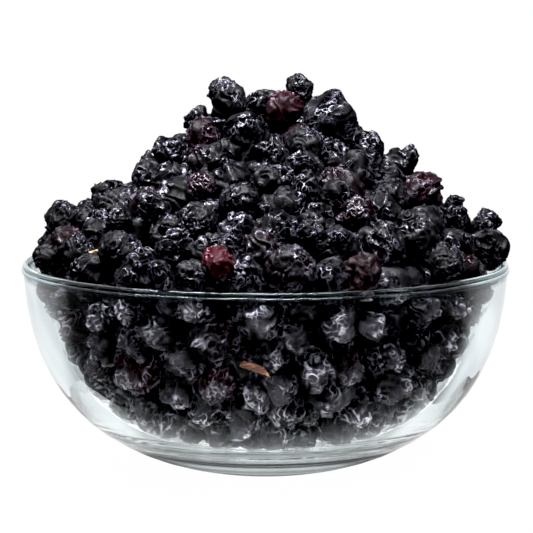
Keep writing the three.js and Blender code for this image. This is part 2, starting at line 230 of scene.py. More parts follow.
def seen_brightness(tree, outside, inside, trapped=1.0, through_glass=1.0):
    """Outside and inside are what the face of the glass and its wall from inside mirror, trapped
    is for light thrown about in the wall, and through_glass for what the eye sees through it."""
    path = node(tree, "LightPath").outputs
    bounced = maths(tree, "ADD", path["Diffuse Depth"], path["Glossy Depth"])
    through = maths(tree, "MAXIMUM", path["Is Camera Ray"], path["Is Transmission Ray"])
    straight = times(tree, through, maths(tree, "LESS_THAN", bounced, 0.5))
    crossed = path["Transmission Depth"]
    sharp = times(tree, path["Is Singular Ray"], maths(tree, "LESS_THAN", crossed, 2.5))
    sharp = times(tree, sharp, maths(tree, "LESS_THAN", path["Diffuse Depth"], 0.5))
    entered = maths(tree, "GREATER_THAN", crossed, 0.5)
    mirrored = mix_number(tree, entered, outside, inside)
    often = maths(tree, "GREATER_THAN", path["Glossy Depth"], 1.5)
    mirrored = mix_number(tree, often, mirrored, trapped)
    dim = remap(tree, through, 0, 1, SEEN_BY_FRUIT, SEEN_BY_FRUIT_IN_GLASS, "LINEAR")
    thrown = mix_number(tree, sharp, dim, mirrored)
    clear = mix_number(tree, entered, 1.0, through_glass)
    return mix_number(tree, straight, thrown, clear)


# %% World: bright all round at eye height, dark overhead, with one soft box
BOX_TILT, BOX_EDGE, BOX_MIDDLE, BOX_BRIGHTNESS = 0.7, 0.82, 0.95, 3.0
world = bpy.data.worlds.new("studio")
bpy.context.scene.world = world
world.use_nodes = True
tree = world.node_tree
tree.nodes.clear()
way = node(tree, "SeparateXYZ", {0: node(tree, "TexCoord").outputs["Generated"]}).outputs
level_way = node(tree, "CombineXYZ", {0: way["X"], 1: way["Y"]}).outputs[0]
level_way = node(tree, "VectorMath", {0: level_way}, operation="LENGTH").outputs["Value"]
by_face = remap(tree, level_way, 0.5, 0.85, DARK, 1.0)
by_wall = remap(tree, level_way, 0.0, 0.4, DARK, 1.0)
soft_box = remap(tree, maths(tree, "MULTIPLY_ADD", way["Y"], BOX_TILT, way["Z"]),
                 BOX_EDGE, BOX_MIDDLE, 0.0, BOX_BRIGHTNESS)
seen = seen_brightness(tree, maths(tree, "MAXIMUM", by_face, soft_box),
                       maths(tree, "MAXIMUM", by_wall, soft_box))
sky = node(tree, "Background", {"Color": (1, 1, 1, 1), "Strength": seen})
node(tree, "OutputWorld", {"Surface": sky.outputs[0]})

# %% Development: plain colours, with the deepest shade turned to black
BLACK_LEVEL = 0.004
MOST_REFLECTIONS = 12
bpy.context.scene.cycles.glossy_bounces = MOST_REFLECTIONS
looks = bpy.context.scene.view_settings
looks.view_transform = "Standard"
looks.use_curve_mapping = True
looks.curve_mapping.black_level = (BLACK_LEVEL,) * 3
looks.curve_mapping.update()

# %% [markdown]
# The lamps are soft rectangles that face the middle of the bowl: a wide one overhead, a small
# one close above the heap's crown, and three weak ones that fill the sides and the front.

# %% Lamps: name, place and size in metres, power in watts
LAMPS = [
    ("light_top", (-0.05, -0.08, 0.6), (0.7, 0.2), 19),
    ("light_crown", (0.0, -0.07, 0.19), (0.08, 0.03), 0.35),
    ("light_left", (-0.5, -0.3, 0.3), (0.12, 0.3), 1),
    ("light_right", (0.5, -0.25, 0.35), (0.12, 0.3), 1),
    ("light_front", (0.0, -0.55, 0.32), (0.3, 0.15), 0.3),
]
LAMP_COLOUR = (0.9, 0.93, 1.0)
for name, place, size, power in LAMPS:
    bpy.ops.object.light_add(type="AREA", location=place)
    lamp = bpy.context.object
    lamp.name = name
    lamp.data.shape = "RECTANGLE"
    lamp.data.size, lamp.data.size_y = size
    lamp.data.energy = power
    lamp.data.color = LAMP_COLOUR
    lamp.rotation_mode = "QUATERNION"
    lamp.rotation_quaternion = (AIM - Vector(place)).to_track_quat("-Z", "Y")
print(len(LAMPS), "lamps")

# %% [markdown]
# The floor is a wide disc of white paper. It catches a faint shadow under the bowl and turns
# into plain white further out, so that no horizon shows. Low on the bowl the glass mirrors the
# floor, so what it sees there is set by the distance from the foot and by the side of the bowl.
# The glow that the glass mirrors, and shows through it, is darker near and under the foot: a
# painted shadow of the bowl.

# %% Floor
FLOOR_RADIUS_M = 2.0
bpy.ops.mesh.primitive_circle_add(vertices=96, radius=FLOOR_RADIUS_M, fill_type="NGON")
floor = bpy.context.object
floor.name = "floor"
print("floor", 2 * FLOOR_RADIUS_M, "m across")

# %% What the glass mirrors of the floor, with a painted shadow under the foot
paper, tree, place = new_material("white_paper")
away = node(tree, "VectorMath", {0: place}, operation="LENGTH").outputs["Value"]
to_back = node(tree, "SeparateXYZ", {0: place}).outputs["Y"]
by_face = times(tree, remap(tree, to_back, -0.05, -0.03, DARK, 1.0),
                remap(tree, away, 0.046, 0.062, 1.0, 0.12))
by_face = maths(tree, "MAXIMUM", by_face, remap(tree, to_back, -0.005, 0.02, 0.0, 0.8))
# Painted shadow: what the face of the glass mirrors is dark near and under the foot.
by_face = times(tree, by_face, remap(tree, away, 0.029, 0.037, 0.15, 1.0))
# Painted shadow: the glow is darker under the foot, for mirrors and for the eye through glass.
painted_shadow_of_foot = remap(tree, away, 0.017, 0.03, 0.85, 1.0, "LINEAR")
by_wall = maths(tree, "MAXIMUM", remap(tree, to_back, -0.03, -0.012, DARK, 1.0),
                remap(tree, away, 0.038, 0.054, 0.6, DARK))
by_wall = maths(tree, "MINIMUM", by_wall, painted_shadow_of_foot)
seen = seen_brightness(tree, by_face, by_wall, painted_shadow_of_foot, painted_shadow_of_foot)

# %% White paper
rough = remap(tree, noise(tree, place, 900.0, 3.0), 0.3, 0.7, 0.75, 0.9)
matte = node(tree, "BsdfDiffuse", {"Color": (0.9, 0.9, 0.9, 1), "Roughness": rough})
glow = node(tree, "Emission", {"Color": (1, 1, 1, 1), "Strength": seen})
mirrored = maths(tree, "GREATER_THAN", node(tree, "LightPath").outputs["Glossy Depth"], 0.5)
white = maths(tree, "MAXIMUM", remap(tree, away, 0.03, 0.14, 0.985, 1.0), mirrored)
mixed = node(tree, "MixShader", {0: white, 1: matte.outputs[0], 2: glow.outputs[0]})
node(tree, "OutputMaterial", {"Surface": mixed.outputs[0]})
dress(floor, paper)

# %% [markdown]
# ## The glass bowl
# Moulded bowls like this are round, so half of a section is drawn once and swept round the
# axis. The outer wall and the inner wall are Bezier curves with the same pulls as the CAD
# solid's, in finer steps. The rim of the real bowl catches the light in two fine lines, so the
# solid's one round lip becomes two small beads here, the upper one set slightly in.

# %% Sizes of the glass, in mm
RIM_RADIUS = 60.0
BOWL_HEIGHT = 50.7
FOOT_RADIUS = 17.5
FLOOR_RADIUS = 17.0
FLOOR_HEIGHT = 5.6
LIP_RADIUS = 1.3
OUTER_PULLS = [(34.7, 3.2), (57.7, 12.9)]
INNER_PULLS = [(33.5, 6.8), (52.5, 15.0)]
LIP_CENTRE = (RIM_RADIUS - LIP_RADIUS, BOWL_HEIGHT - LIP_RADIUS)
TOP_BEAD = (58.95, BOWL_HEIGHT - 0.75, 0.75)
LOW_BEAD = (RIM_RADIUS - 0.65, BOWL_HEIGHT - 1.75, 0.65)
UNDER_BEAD = (59.5, BOWL_HEIGHT - 2.8)
GLASS_STEPS = 160
CURVE_STEPS = 14
CREASE_DEG = 35
WELD, SLIVER_FACE = 1e-6, 1e-7


# %% Points of the section
def bead_arc(bead, start, end, arcs):
    """Bezier points (place, pull before, pull after) along a bead (radius, height, own radius)."""
    turn = (end - start) / arcs
    reach = bead[2] * 4 / 3 * tan(radians(turn) / 4)
    marks = []
    for k in range(arcs + 1):
        a = radians(start + k * turn)
        place = np.array(bead[:2]) + bead[2] * np.array((cos(a), sin(a)))
        pull = np.array((-sin(a), cos(a))) * reach
        marks.append([place, place - pull, place + pull])
    return marks


def third(a, b, k):
    return tuple(np.array(a) + (np.array(b) - np.array(a)) * k / 3)


foot = (FOOT_RADIUS, 0.0)
low, top = bead_arc(LOW_BEAD, -50, 70, 2), bead_arc(TOP_BEAD, -30, 180, 2)
floor_edge = (FLOOR_RADIUS, FLOOR_HEIGHT)
bottom, middle = (0.0, 0.0), (0.0, FLOOR_HEIGHT)
marks = [
    [bottom, bottom, third(bottom, foot, 1)],
    [foot, third(bottom, foot, 2), OUTER_PULLS[0]],
    [UNDER_BEAD, OUTER_PULLS[1], third(UNDER_BEAD, low[0][0], 1)],
    [low[0][0], third(UNDER_BEAD, low[0][0], 2), low[0][2]],
    low[1],
    [low[2][0], low[2][1], third(low[2][0], top[0][0], 1)],
    [top[0][0], third(low[2][0], top[0][0], 2), top[0][2]],
    top[1],
    [top[2][0], top[2][1], INNER_PULLS[1]],
    [floor_edge, INNER_PULLS[0], third(floor_edge, middle, 1)],
    [middle, third(floor_edge, middle, 2), middle],
]
print(len(marks), "control points on the section")

# %% Draw the section and sweep it
bpy.ops.curve.primitive_bezier_curve_add(radius=MM)
section = bpy.context.object
curve = section.data
curve.resolution_u = CURVE_STEPS
spline = curve.splines[0]
spline.bezier_points.add(len(marks) - len(spline.bezier_points))
for point, (place, before, after) in zip(spline.bezier_points, marks):
    point.handle_left_type = point.handle_right_type = "FREE"
    point.co = (place[0] * MM, 0, place[1] * MM)
    point.handle_left = (before[0] * MM, 0, before[1] * MM)
    point.handle_right = (after[0] * MM, 0, after[1] * MM)
choose(section)
bpy.ops.object.convert(target="MESH")
bowl = bpy.context.object
bowl.name = "clear_glass_bowl"
modify(bowl, "SCREW", angle=2 * pi, steps=GLASS_STEPS, render_steps=GLASS_STEPS, screw_offset=0, axis="Z",
       use_merge_vertices=True, merge_threshold=WELD, use_normal_calculate=True)
edit(bowl, (bpy.ops.mesh.remove_doubles, dict(threshold=WELD)),
     (bpy.ops.mesh.dissolve_degenerate, dict(threshold=SLIVER_FACE)),
     (bpy.ops.mesh.normals_make_consistent, dict(inside=False)))
bpy.ops.object.shade_smooth_by_angle(angle=radians(CREASE_DEG))
print("bowl:", triangles(bowl), "triangles")

# %% [markdown]
# ## Where every berry lies
# The heap isn't scattered by a particle system: its berries settle by a small packing rule.
# Each berry is a ball. Balls that overlap push each other apart, a little at a time, and are
# kept off the glass, off the rim and under the cone of the heap. The CAD solid was raised from
# the same rule and the same seed, so the solid and these berries agree. All of it is in mm.

# %% Sizes of the heap and of its berries, in mm
HEAP_APEX = EYE_LEVEL + 49
HEAP_CROWN = EYE_LEVEL + 48.5
HEAP_SLOPE = 0.7
WALL_STEPS = 12
SLOPE_LENGTH = sqrt(HEAP_SLOPE * HEAP_SLOPE + 1)
GLASS_GAP = 0.4
LOOSE_SINK = 2
LOOSE_UNEVEN = 1.3
LOOSE_REACH = RIM_RADIUS - 3.4
PLACED_PROUD = 6
PLACED_REACH = RIM_RADIUS - 0.5
BERRY_SMALL, BERRY_LARGE = 3, 6.5
LOOSE_BERRIES = 740
SEED = 4177
SETTLE_STEPS = 240
SETTLE_DROP = 0.03
NEIGHBOUR_STEPS = 10
NEIGHBOUR_REACH = 2.5
NESTLE = 0.94
EYE_DISTANCE, EYE_RUN, EYE_RISE = 540, 0.9919, 0.1271
SET_BACK_PASSES = 12
OUTLINE_STAGGER = 5
HOLD_ACROSS, HOLD_DEPTH = 0.5, 0.12

# %% [markdown]
# About eighty berries show plainly in the photograph. Each was read off as the distance across
# from the bowl's axis, the height above the middle of the rim, and the radius. Five more
# stand behind the crown, where those in front hide them.

# %% Berries listed one by one: across, up from the rim, radius, in mm
HEAP_BERRIES = [
    [-9.3, 41.8, 4.9], [3.5, 39.5, 4.8], [-1.5, 41, 2.5], [8.5, 44, 3.2], [15.7, 36.5, 6.4],
    [-17, 36.3, 3], [-15, 32.5, 4.2], [-5, 32.5, 5.2], [-10.5, 26.5, 4.5], [-24, 28.5, 3.6],
    [-28.5, 22.4, 4], [-16, 19.5, 3.7], [-38.5, 16.5, 4.2], [-28, 14.5, 3.5], [-50, 11.5, 4.2],
    [-45, 12, 3], [-36, 11.5, 3.5], [-17, 10.5, 5.2], [-6.5, 16, 5],
    [10, 30, 4.7], [24, 29.4, 4.5], [33, 26, 4.2], [9, 23, 5.2], [22.5, 23, 5.2], [39, 18, 5],
    [31, 17, 4.2], [17, 17, 4], [4, 14, 5.4], [46.5, 15, 2.5], [47, 12, 3.5], [54.5, 10.2, 3.7],
    [-55, 2, 3.5], [-49, 5, 4.5], [-36, 3.5, 5.4], [-26.5, -1.5, 3], [-22, 4, 5],
    [-18.5, -4, 4.5], [-11, 1, 4], [-1, 4, 4.7], [6.5, -1, 6.2], [11, 8, 3.5], [22, 12, 5],
    [27.5, 4.5, 6.4], [24, -2.5, 4.7], [35.5, 6.5, 4.7], [35.5, 11, 3], [45, -0.5, 4.1],
    [54.5, 4, 5],
]
GLASS_BERRIES = [
    [-45.5, -14.5, 4.7], [-39, -11.5, 4.2], [-25, -16, 4.7], [-17.5, -10, 4], [-12, -18, 6.2],
    [-1.5, -11.5, 6.2], [7, -17.5, 3.5], [17, -12.5, 5], [25.5, -14, 4.5], [37.5, -11, 4.5],
    [45, -10, 3.5], [43.5, -17, 3.7], [49.5, -13, 3.7],
    [-46.5, -22.5, 4.2], [-40, -24, 3.7], [-31, -25, 5.4], [-21.5, -29.5, 4.2], [-12, -29, 4.2],
    [1.5, -22, 4.5], [11, -24.5, 5.7], [20, -25, 3.7], [28.5, -22, 4.5], [37, -21, 4.7],
    [36, -28.5, 4.7], [44, -25.5, 3.7],
    [-40.5, -32.5, 3.2], [-34.5, -34, 3.5], [-29, -33, 3], [-22, -37.5, 4], [-10.5, -37.5, 4.7],
    [-2, -31.5, 4.5], [2, -39, 4.5], [9, -33.5, 5.2], [21.5, -33.5, 4.7], [40, -31.5, 3],
]
HIDDEN_BERRIES = [
    [-5, 8.5, 37, 4.8], [4, 9, 36.5, 4.8], [12, 8, 37, 4.6], [-13, 8, 32, 4.4], [20, 8, 31, 4.8],
]
print(len(HEAP_BERRIES), "on the heap,", len(GLASS_BERRIES), "on the glass,", len(HIDDEN_BERRIES), "behind")

# %% The bark and the stalk, which the berries keep clear of
SLIVER_ACROSS = [-5.6, -3.3, -0.8, 1]
SLIVER_HEIGHT = [34.1, 33.6, 32.6, 30.9]
SLIVER_WIDTH = 1.7
SLIVER_THICKNESS = 0.8
SLIVER_ROOM = 0.45
STALK_ROUTE = [[-40.3, -37.8, 57], [-39.5, -38, 57.3], [-38.6, -38.2, 57.6]]
STALK_RADIUS = 0.35
STALK_ROOM = 0.15
BEADS_BETWEEN = 3

# %% [markdown]
# A repeatable "random" number is a small formula: multiply, keep the remainder, divide. The
# same seed always gives the same heap.

# %% Repeatable draws
def make_draw(seed):
    state = seed

    def draw():
        nonlocal state
        state = (state * 16807) % 2147483647
        return state / 2147483647
    return draw


# %% The inner wall of the glass, as the packing rule sees it
def cubic(a, b, c, d, t):
    k = 1 - t
    return k * k * k * a + 3 * k * k * t * b + 3 * k * t * t * c + t * t * t * d


def inside_profile(steps):
    """Points (radius, height) from the axis along the floor and up the inner wall."""
    ends = [(FLOOR_RADIUS, FLOOR_HEIGHT), *INNER_PULLS, (LIP_CENTRE[0] - LIP_RADIUS, LIP_CENTRE[1])]
    points = [(0.0, FLOOR_HEIGHT)]
    for step in range(steps + 1):
        t = step / steps
        points.append((cubic(*[e[0] for e in ends], t), cubic(*[e[1] for e in ends], t)))
    return points


def inside_radius(z):
    for (r0, z0), (r1, z1) in zip(INSIDE[1:], INSIDE[2:]):
        if z < z1:
            return r0 + (z - z0) / (z1 - z0) * (r1 - r0)
    return INSIDE[-1][0]


def inside_facets(profile):
    """Each stretch of the wall: a point on it, its direction inwards, and if it is the floor."""
    facets = []
    for i, ((r0, z0), (r1, z1)) in enumerate(zip(profile, profile[1:])):
        run, rise = r1 - r0, z1 - z0
        length = sqrt(run * run + rise * rise)
        facets.append((r0, z0, -rise / length, run / length, i == 0))
    return facets


INSIDE = inside_profile(WALL_STEPS)


# %% [markdown]
# A listed berry has a direction but no depth. It is moved back along the line of sight
# until it meets the cone of the heap, or the glass, and scaled by its distance.

# %% Depth of a listed berry
def set_back(across, up, r, reach_at, draw):
    stagger = (2 * draw() - 1) * OUTLINE_STAGGER
    y, z, near = 0.0, EYE_LEVEL + up, 1.0
    for _ in range(SET_BACK_PASSES):
        z = EYE_LEVEL + (up * near - y * EYE_RISE) / EYE_RUN
        reach = max(reach_at(z), 0)
        x = across * near
        y = -sqrt(reach * reach - x * x) if abs(x) < reach else stagger
        near = (EYE_DISTANCE + y * EYE_RUN - (z - EYE_LEVEL) * EYE_RISE) / EYE_DISTANCE
    return across * near, y, z, r * near


# %% A loose berry, anywhere in the bowl or the heap
def loose_berry(draw):
    r = BERRY_SMALL + (BERRY_LARGE - BERRY_SMALL) * ((draw() + draw() + draw()) / 3)
    proud = (2 * draw() - 1) * LOOSE_UNEVEN - LOOSE_SINK
    while True:
        x = (2 * draw() - 1) * LOOSE_REACH
        y = (2 * draw() - 1) * LOOSE_REACH
        z = FLOOR_HEIGHT + draw() * (HEAP_CROWN - FLOOR_HEIGHT)
        radius = sqrt(x * x + y * y)
        if HEAP_SLOPE * radius + z < HEAP_APEX - r and radius + r < inside_radius(z):
            return (x, y, z, r), proud


# %% Beads along the bark and the stalk
def sliver_route():
    set_in = GLASS_GAP + SLIVER_THICKNESS / 2
    reach = [inside_radius(z) - set_in for z in SLIVER_HEIGHT]
    return [(x, -sqrt(k * k - x * x), z) for x, k, z in zip(SLIVER_ACROSS, reach, SLIVER_HEIGHT)]


def beads_along(route, r):
    beads = []
    for a, b in zip(route, route[1:]):
        for step in range(BEADS_BETWEEN + 1):
            share = step / BEADS_BETWEEN
            beads.append([*(p + (q - p) * share for p, q in zip(a, b)), r])
    return beads


# %% Moves of the packing rule
def slide(x, y, z, inward, upward, step):
    """Moves towards the axis (inward is negative) and upwards by shares of step."""
    radius = np.maximum(np.sqrt(x * x + y * y), 1e-6)
    scale = (radius + inward * step) / radius
    return x * scale, y * scale, z + upward * step


def close_pairs(x, y, z, r):
    dx, dy, dz = (k[:, None] - k[None, :] for k in (x, y, z))
    reach = (r[:, None] + r[None, :]) + NEIGHBOUR_REACH
    near = dx * dx + dy * dy + dz * dz < reach * reach
    np.fill_diagonal(near, False)
    return np.nonzero(near)


def off_wall(x, y, z, r, gap, facets):
    """Pushes points, or balls of radius r, to the inner side of the glass."""
    for r0, z0, inward, upward, is_floor in facets:
        depth = inward * (np.sqrt(x * x + y * y) - r0) + upward * (z - z0)
        lack = r + gap - depth
        near = (lack > 0) & (is_floor | (z <= LIP_CENTRE[1]))
        x, y, z = slide(x, y, z, inward, upward, np.where(near, lack, 0))
    return x, y, z


def off_lip(x, y, z, r, gap):
    """Pushes points, or balls of radius r, off the rolled lip."""
    across, up = np.sqrt(x * x + y * y) - LIP_CENTRE[0], z - LIP_CENTRE[1]
    apart = np.sqrt(across * across + up * up)
    lack = np.maximum(r + LIP_RADIUS + gap - apart, 0)
    return slide(x, y, z, across / apart, up / apart, lack)


def under_heap(x, y, z, r, proud):
    """Pushes balls under the cone of the heap, proud of it by what each may be, and its crown."""
    over = (HEAP_SLOPE * np.sqrt(x * x + y * y) + z - HEAP_APEX) / SLOPE_LENGTH
    lack = np.maximum(over + r - proud, 0)
    x, y, z = slide(x, y, z, -HEAP_SLOPE / SLOPE_LENGTH, -1 / SLOPE_LENGTH, lack)
    return x, y, z - np.maximum(z + r - HEAP_CROWN, 0)


def off_beads(x, y, z, r, beads):
    for bx, by, bz, br in beads:
        ex, ey, ez = x - bx, y - by, z - bz
        apart = np.sqrt(ex * ex + ey * ey + ez * ez)
        push = np.maximum(r + br - apart, 0)
        x, y, z = x + (ex * push) / apart, y + (ey * push) / apart, z + (ez * push) / apart
    return x, y, z


def off_neighbours(x, y, z, r, one, two):
    """How far each ball moves away from those that it overlaps."""
    dx, dy, dz = x[one] - x[two], y[one] - y[two], z[one] - z[two]
    apart = np.sqrt(dx * dx + dy * dy + dz * dz)
    lack = (r[one] + r[two]) * NESTLE - apart
    share = np.where(lack > 0, (0.5 * lack) / apart, 0.0)
    return [np.bincount(one, weights=d * share, minlength=len(x)) for d in (dx, dy, dz)]


# %% First places of the berries
def first_places():
    """Rows (x, y, z, radius), the placed berries first, and how proud each may stand."""
    draw = make_draw(SEED)
    rows = []
    for a, u, r in HEAP_BERRIES:
        set_in = (r * SLOPE_LENGTH) / HEAP_SLOPE
        rows.append(set_back(a, u, r, lambda z: (HEAP_APEX - z) / HEAP_SLOPE - set_in, draw))
    for a, u, r in GLASS_BERRIES:
        rows.append(set_back(a, u, r, lambda z: inside_radius(z) - r - GLASS_GAP, draw))
    rows += [(a, back, EYE_LEVEL + u, r) for a, back, u, r in HIDDEN_BERRIES]
    proud = [PLACED_PROUD] * len(rows)
    for _ in range(LOOSE_BERRIES):
        row, limit = loose_berry(draw)
        rows.append(row)
        proud.append(limit)
    return np.array(rows), np.array(proud)


# %% Settle the berries
def settle(rows, proud, held, beads):
    """Lets the balls settle. The first held ones are drawn back to where they were placed."""
    x, y, z, r = rows.T
    home = rows[:held, :3]
    widest = np.where(np.arange(len(rows)) < held, PLACED_REACH, LOOSE_REACH)
    facets = inside_facets(INSIDE)
    for step in range(SETTLE_STEPS):
        if step % NEIGHBOUR_STEPS == 0:
            one, two = close_pairs(x, y, z, r)
        px, py, pz = off_neighbours(x, y, z, r, one, two)
        drop = SETTLE_DROP * (1 - step / SETTLE_STEPS)
        x, y, z = x + px, y + py, z + (pz - drop)
        x[:held] += (home[:, 0] - x[:held]) * HOLD_ACROSS
        y[:held] += (home[:, 1] - y[:held]) * HOLD_DEPTH
        z[:held] += (home[:, 2] - z[:held]) * HOLD_ACROSS
        x, y, z = off_beads(x, y, z, r, beads)
        x, y, z = under_heap(x, y, z, r, proud)
        x, y, z = slide(x, y, z, -1, 0, np.maximum(np.sqrt(x * x + y * y) + r - widest, 0))
        x, y, z = off_lip(x, y, z, r, GLASS_GAP)
        x, y, z = off_wall(x, y, z, r, GLASS_GAP, facets)
    return np.stack([x, y, z, r], 1)


beads = (beads_along(sliver_route(), SLIVER_WIDTH / 2 + SLIVER_ROOM)
         + beads_along(STALK_ROUTE, STALK_RADIUS + STALK_ROOM))
PLACED = len(HEAP_BERRIES) + len(GLASS_BERRIES)
berries = settle(*first_places(), PLACED + len(HIDDEN_BERRIES), beads)
print(len(berries), "berries; the highest reaches", round((berries[:, 2] + berries[:, 3]).max(), 2), "mm")

# %% [markdown]
# ## Model berries
# A dried blueberry is a round fruit that has shrunk. Its skin is too large for it and falls
# into folds, and the crown where the flower was stays as a small star-shaped pit. Each model
# starts as a fine ball, gets lumps and dents for its form, a pit on top, and then folds. The
# folds follow the contour lines of a smooth noise, which run in loops and in parallel bundles
# as the skin of the fruit does. What happened at the folds is kept as a number per point.

# %% Textures that shape the skin
BERRY = 5 * MM
APART = 30 * MM


def shaping_texture(kind, name, greys=None, **settings):
    made = bpy.data.textures.new(name, kind)
    for key, value in settings.items():
        setattr(made, key, value)
    if greys:
        made.use_color_ramp = True
        stops = made.color_ramp.elements
        while len(stops) < len(greys):
            stops.new(0.5)
        for stop, (place, grey) in zip(stops, greys):
            stop.position = place
            stop.color = (grey, grey, grey, 1)
    return made


CREST = [(0.0, 0.0), (0.35, 0.15), (0.7, 0.55), (0.9, 0.92), (1.0, 1.0)]
noise_kind = dict(noise_basis="ORIGINAL_PERLIN")
bands = dict(wood_type="BANDNOISE", noise_basis_2="SIN", **noise_kind)
lumps = shaping_texture("CLOUDS", "lumps", noise_scale=7 * MM, noise_depth=0, **noise_kind)
dents = shaping_texture("CLOUDS", "dents", noise_scale=3.6 * MM, noise_depth=0, **noise_kind)
creases = shaping_texture("WOOD", "creases", CREST, noise_scale=7 * MM, turbulence=28.0, **bands)
folds = shaping_texture("WOOD", "folds", CREST, noise_scale=4.6 * MM, turbulence=32.0, **bands)
ripples = shaping_texture("WOOD", "ripples", CREST, noise_scale=3.0 * MM, turbulence=38.0, **bands)


# %% Steps that shape one berry
def displace(berry, texture, strength, middle):
    if strength:
        modify(berry, "DISPLACE", texture=texture, texture_coords="GLOBAL", strength=strength,
               mid_level=middle)


PETALS, PETAL_DEPTH = 5, 0.14
RING_WIDTH, RING_HEIGHT = 0.08, 0.1
WAVE_LENGTH, WAVE_REACH, WAVE_HEIGHT = 0.17, 0.4, 0.045


def crown_pit(berry, size, depth):
    """The star-shaped scar of the flower, with a raised ring and small waves round it. Sizes are
    shares of the berry's radius."""
    points = points_of(berry)
    rho = np.hypot(points[:, 0], points[:, 1]) / BERRY
    angle = np.arctan2(points[:, 1], points[:, 0])
    edge = size * (1 + PETAL_DEPTH * np.cos(PETALS * angle))
    ring = np.exp(-(((rho - edge) / RING_WIDTH) ** 2)) * RING_HEIGHT
    waves = np.cos(2 * pi * (rho - edge) / WAVE_LENGTH) * np.exp(-(((rho - size) / WAVE_REACH) ** 2))
    waves *= (rho > 0.6 * size) * WAVE_HEIGHT
    pit = np.exp(-((rho / (size * 0.8)) ** 4)) * depth
    top = points[:, 2] > 0
    points[top, 2] += ((ring + waves - pit) * BERRY)[top]
    set_points(berry, points)


FOLD_MIDDLE = 0.35
RIDGE_PERCENTILES = [4, 97]


def model_berry(k, stretch, lump, dent, crease, fold, ripple, pit, faces):
    """Model k at each number of faces, round its own origin, with its top along +Z. It is shaped
    apart from the others, because the textures are read by place."""
    choose(camera)
    bpy.ops.mesh.primitive_ico_sphere_add(subdivisions=6, radius=BERRY, location=(k * APART, 0, 0),
                                          scale=stretch)
    berry = bpy.context.object
    bpy.ops.object.transform_apply(location=False, rotation=False, scale=True)
    displace(berry, lumps, lump * BERRY, 0.5)
    displace(berry, dents, dent * BERRY, 0.5)
    if pit:
        crown_pit(berry, *pit)
    before, normals = points_of(berry), points_of(berry, "normal")
    for texture, strength in ((creases, crease), (folds, fold), (ripples, ripple)):
        displace(berry, texture, strength * BERRY, FOLD_MIDDLE)
    raised = ((points_of(berry) - before) * normals).sum(1)
    low, high = np.percentile(raised, RIDGE_PERCENTILES)
    store(berry, "ridge", np.clip((raised - low) / (high - low), 0, 1))
    points = points_of(berry)
    points -= points.mean(0)
    set_points(berry, points * (BERRY / np.linalg.norm(points, axis=1).mean()))
    made = []
    for count in faces:
        choose(berry)
        bpy.ops.object.duplicate()
        copy = bpy.context.object
        modify(copy, "DECIMATE", ratio=count / len(copy.data.polygons))
        copy.name = f"model_{k:02d}_{count}"
        copy.location = (0, 0, 0)
        bpy.ops.object.shade_smooth()
        made.append(copy)
    choose(berry)
    bpy.ops.object.delete()
    return made


# %% Twelve shapes, each at four finenesses
# A row holds the stretch, the strength of lumps, dents, creases, folds and ripples as shares of
# the radius, and the size and depth of the pit.
FINENESS = [3200, 1000, 320, 80]
SHAPES = [
    ((1, 0.95, 0.92), 0.40, 0.3, 0.08, 0.09, 0.02, (0.36, 0.3)),
    ((1.05, 0.9, 0.85), 0.5, 0.4, 0.14, 0.05, 0.03, (0.42, 0.3)),
    ((0.95, 0.95, 0.8), 0.3, 0.3, 0.05, 0.12, 0.0, (0.32, 0.25)),
    ((1.1, 0.95, 0.8), 0.6, 0.5, 0.12, 0.05, 0.02, None),
    ((1, 1, 0.9), 0.5, 0.3, 0.16, 0.07, 0.0, (0.38, 0.35)),
    ((1, 0.9, 0.95), 0.8, 0.3, 0.08, 0.04, 0.0, None),
    ((0.9, 0.95, 1.05), 0.5, 0.6, 0.05, 0.1, 0.03, (0.3, 0.25)),
    ((1, 1, 1), 0.3, 0.3, 0.04, 0.06, 0.05, None),
    ((1.08, 0.9, 0.8), 0.5, 0.4, 0.12, 0.06, 0.02, (0.4, 0.3)),
    ((0.95, 1.0, 0.85), 0.6, 0.2, 0.06, 0.1, 0.02, None),
    ((1, 0.85, 0.9), 0.4, 0.5, 0.14, 0.04, 0.03, (0.33, 0.2)),
    ((1, 1, 0.85), 0.5, 0.4, 0.05, 0.07, 0.05, (0.45, 0.3)),
]
models = [model_berry(k, *shape, FINENESS) for k, shape in enumerate(SHAPES)]
print(len(models), "shapes;", [triangles(copy) for copy in models[0]], "triangles at each fineness")

# %% [markdown]
# ## Copies in their places
# Every berry of the packing gets a copy of a model with a mesh of its own, turned and slightly
# stretched by the same kind of repeatable draw. Those that the front view shows are the finest,
# the others on the surface are coarser, and those deep inside, which nobody sees, the coarsest.

# %% How near a berry is to the surface, and which fineness it gets
NEAR_SURFACE, FAR_INSIDE = 4.2, 9
BEHIND_LIP = 3
FAR_AWAY = 1e3
x, y, z, r = berries.T
rho = np.hypot(x, y)
under_cone = -(HEAP_SLOPE * rho + z - HEAP_APEX) / SLOPE_LENGTH - r
to_wall = np.full(len(berries), FAR_AWAY)
for r0, z0, inward, upward, _ in inside_facets(INSIDE):
    to_facet = inward * (rho - r0) + upward * (z - z0) - r
    to_wall = np.minimum(to_wall, np.where(z <= LIP_CENTRE[1] + r, to_facet, FAR_AWAY))
to_wall = np.where(z > LIP_CENTRE[1], np.maximum(under_cone, 0) + BEHIND_LIP, to_wall)
deep = np.minimum(under_cone, to_wall)
in_front = y < 0.2 * rho + 2
fineness = np.where(deep < NEAR_SURFACE, np.where(in_front, 0, 1), np.where(deep < FAR_INSIDE, 2, 3))
fineness[:PLACED] = 0
print("berries at each fineness:", np.bincount(fineness).tolist())

